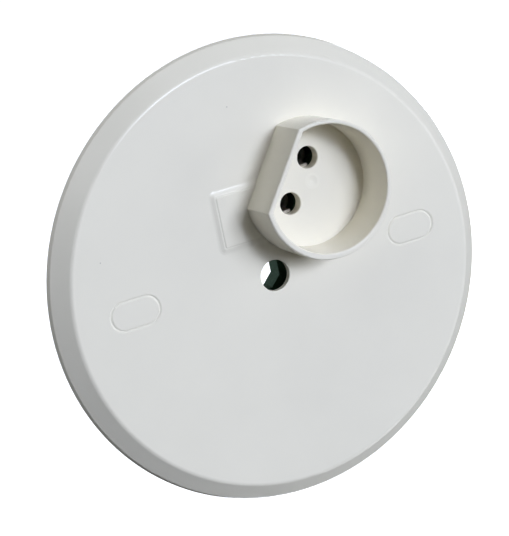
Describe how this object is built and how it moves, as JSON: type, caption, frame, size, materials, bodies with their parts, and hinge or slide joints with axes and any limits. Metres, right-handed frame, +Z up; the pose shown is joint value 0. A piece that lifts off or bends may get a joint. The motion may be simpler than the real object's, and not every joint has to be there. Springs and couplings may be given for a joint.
{
  "type": "lighting connection outlet",
  "caption": "Round white ceiling outlet for a lamp: bevelled disc with a D-shaped collar around a two-pin socket, a centre hook hole and a contact base behind it.",
  "frame": {"origin": "centre of the disc, on the ceiling plane that its back rim lies on", "axes": "+Y into the ceiling, so the face looks along -Y; +X parallel to the line through the two oval knock-outs; +Z up the face as in the picture"},
  "size_m": [0.12, 0.0265, 0.12],
  "materials": {
    "cover_white": "moulded, light satin gloss",
    "base_green": "moulded dark green thermoset",
    "contact_metal": "nickel plated brass strip",
    "plated_steel": "zinc plated"
  },
  "bodies": {
    "root": {"cover": "cover_white", "base": "base_green", "contact_upper": "contact_metal", "contact_lower": "contact_metal", "clamp_washer_upper": "plated_steel", "clamp_washer_lower": "plated_steel", "terminal_screw_upper": "plated_steel", "terminal_screw_lower": "plated_steel", "base_screw_upper": "plated_steel", "base_screw_lower": "plated_steel"}
  },
  "joints": []
}
